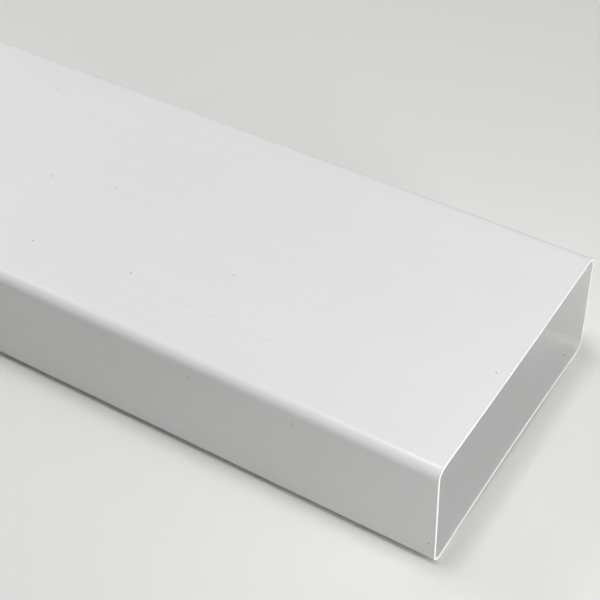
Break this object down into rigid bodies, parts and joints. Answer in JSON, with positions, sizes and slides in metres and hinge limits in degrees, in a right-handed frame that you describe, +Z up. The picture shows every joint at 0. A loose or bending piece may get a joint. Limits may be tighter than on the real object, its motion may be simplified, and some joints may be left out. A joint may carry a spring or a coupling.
{
  "type": "rectangular ventilation duct",
  "caption": "Straight rectangular ventilation duct: a thin-walled white plastic channel with rounded long edges and square-cut open ends, for joining with sleeves and bends.",
  "frame": {"origin": "on the floor, under the middle of the duct's length and width", "axes": "+X along the duct's length, +Y across its wide walls, +Z up through them from the floor"},
  "size_m": [1, 0.222, 0.089],
  "materials": {
    "duct_wall": "extruded rigid white PVC with a lightly glossy skin, sawn and slightly rougher on the two end faces"
  },
  "bodies": {
    "root": {"duct": "duct_wall"}
  },
  "joints": []
}
